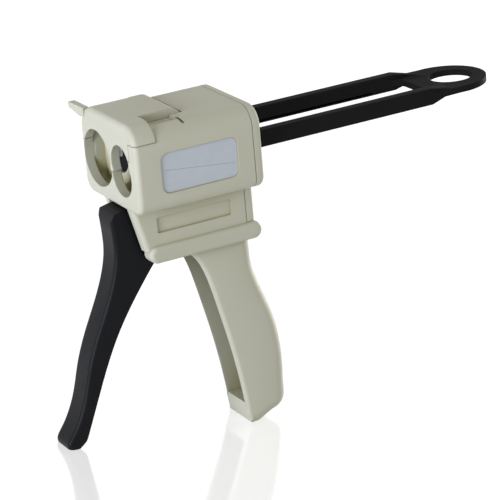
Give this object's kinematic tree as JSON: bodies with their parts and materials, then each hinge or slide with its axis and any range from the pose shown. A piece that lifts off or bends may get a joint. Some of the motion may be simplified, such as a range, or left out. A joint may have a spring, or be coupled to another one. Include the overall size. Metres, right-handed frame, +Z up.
{
  "type": "dental dispensing tool",
  "caption": "Hand-held dispenser for two-barrel dental cartridges: trigger, ratchet plungers with a finger ring, hinged flap over the cartridge slot.",
  "frame": {"origin": "centre of the flat on the underside of the handle's foot, on the surface the tool stands on", "axes": "+X from the cartridge end to the finger ring, +Z up, the label on the -Y side; the tool stands on the trigger's toe and the handle's foot, with the plungers rising to the rear"},
  "size_m": [0.2266, 0.0675, 0.1621],
  "materials": {
    "ivory_plastic": "fine satin moulding",
    "label_film": "smooth satin film",
    "black_plastic": "fine satin moulding",
    "pawl_plastic": "smooth engineering plastic",
    "pin_steel": "ground",
    "spring_steel": "drawn wire"
  },
  "bodies": {
    "housing": {"housing_body": "ivory_plastic", "rear_cover": "ivory_plastic", "rear_cover_screws": "pin_steel", "label_plate": "label_film", "flap_hinge_pin": "pin_steel", "trigger_pivot_pin": "pin_steel", "holding_pawl_pin": "pin_steel", "release_lever_pin": "pin_steel", "holding_pawl_springs": "spring_steel"},
    "flap": {"cartridge_flap": "ivory_plastic"},
    "trigger": {"trigger": "black_plastic", "drive_pawl_pin": "pin_steel", "drive_pawl_spring": "spring_steel", "trigger_return_spring": "spring_steel"},
    "drive_pawl": {"drive_pawl": "pawl_plastic"},
    "plunger": {"plunger_frame": "black_plastic", "far_piston_disc": "black_plastic", "near_piston_disc": "black_plastic", "piston_screws": "pin_steel"},
    "release_lever": {"release_lever": "black_plastic"},
    "holding_pawl": {"holding_pawl": "pawl_plastic"}
  },
  "joints": [
    {"name": "trigger_squeeze", "type": "hinge", "parent": "housing", "child": "trigger", "pos_m": [-0.04733, 0, 0.10977], "axis": [0, -1, 0], "range_deg": [0, 27], "stiffness_Nm_per_rad": 0.5, "springref_deg": -17.19},
    {"name": "drive_pawl_level", "type": "hinge", "parent": "trigger", "child": "drive_pawl", "pos_m": [-0.04558, 0, 0.12467], "axis": [0, -1, 0], "range_deg": [-27, 0]},
    {"name": "plunger_slide", "type": "slide", "parent": "housing", "child": "plunger", "axis": [-0.993, 0, -0.1184], "range_m": [0, 0.085]},
    {"name": "flap_open", "type": "hinge", "parent": "housing", "child": "flap", "pos_m": [-0.05073, 0, 0.15518], "axis": [0, 1, 0], "range_deg": [0, 95]},
    {"name": "release_press", "type": "hinge", "parent": "housing", "child": "release_lever", "pos_m": [-0.01805, 0, 0.12182], "axis": [0, 1, 0], "range_deg": [0, 11], "stiffness_Nm_per_rad": 0.12, "springref_deg": -11.46},
    {"name": "holding_pawl_drop", "type": "hinge", "parent": "housing", "child": "holding_pawl", "pos_m": [-0.02966, 0, 0.13051], "axis": [0, -1, 0], "range_deg": [0, 16], "deforming": ["holding_pawl_springs"]}
  ],
  "couplings": [
    {"joint": "drive_pawl_level", "follows": "trigger_squeeze", "ratio": -1},
    {"joint": "holding_pawl_drop", "follows": "release_press", "ratio": 1.4444}
  ]
}
